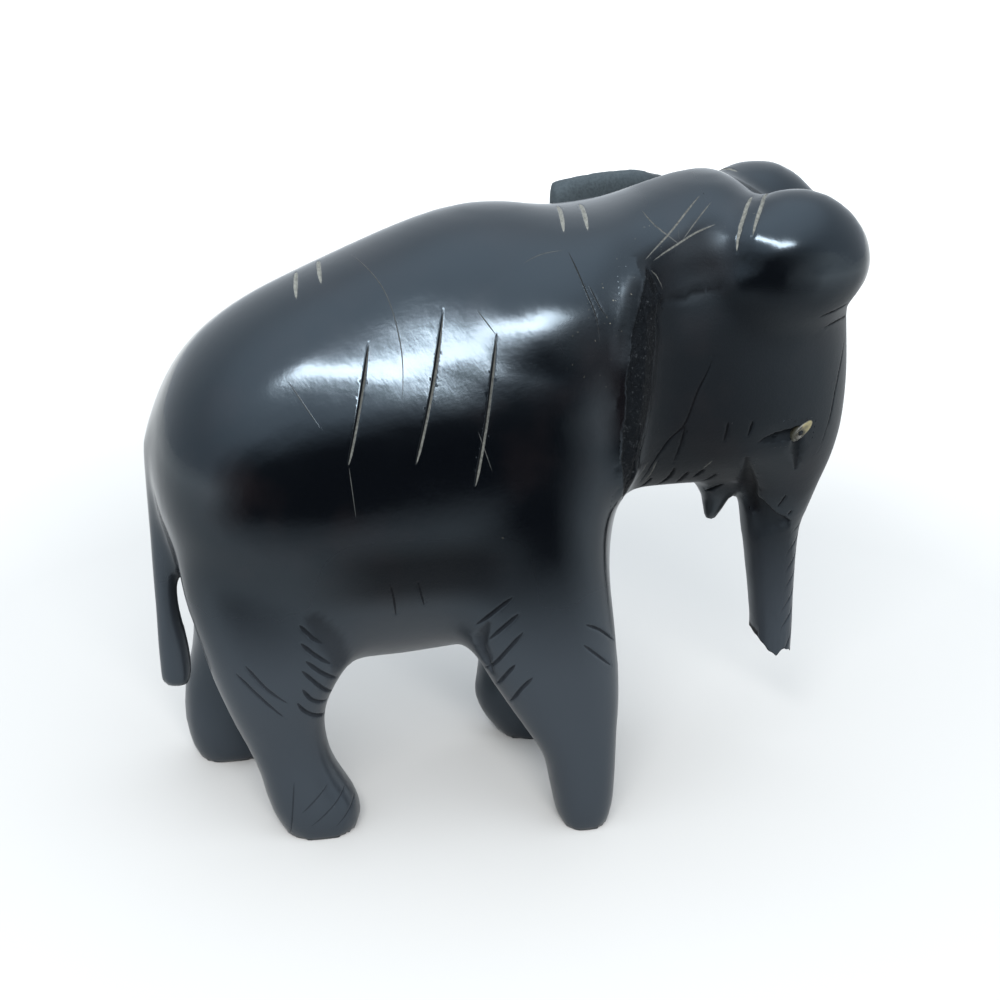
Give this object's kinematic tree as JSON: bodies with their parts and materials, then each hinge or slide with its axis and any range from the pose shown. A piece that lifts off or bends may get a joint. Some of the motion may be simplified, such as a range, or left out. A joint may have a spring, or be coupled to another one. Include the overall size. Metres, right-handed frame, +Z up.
{
  "type": "carved elephant figurine",
  "caption": "Carved dark wood elephant standing with its trunk hanging down; the right ear and the trunk tip are broken off.",
  "frame": {"origin": "middle of the footprint, on the ground plane under the feet", "axes": "+X from the tail to the head, +Y to the animal's left, +Z up"},
  "size_m": [0.0996, 0.0468, 0.0912],
  "materials": {
    "ebony": "waxed, satin",
    "bone": "matt bone inlay"
  },
  "bodies": {
    "root": {"elephant": "ebony", "eye_inlay_left": "bone", "eye_inlay_right": "bone"}
  },
  "joints": []
}
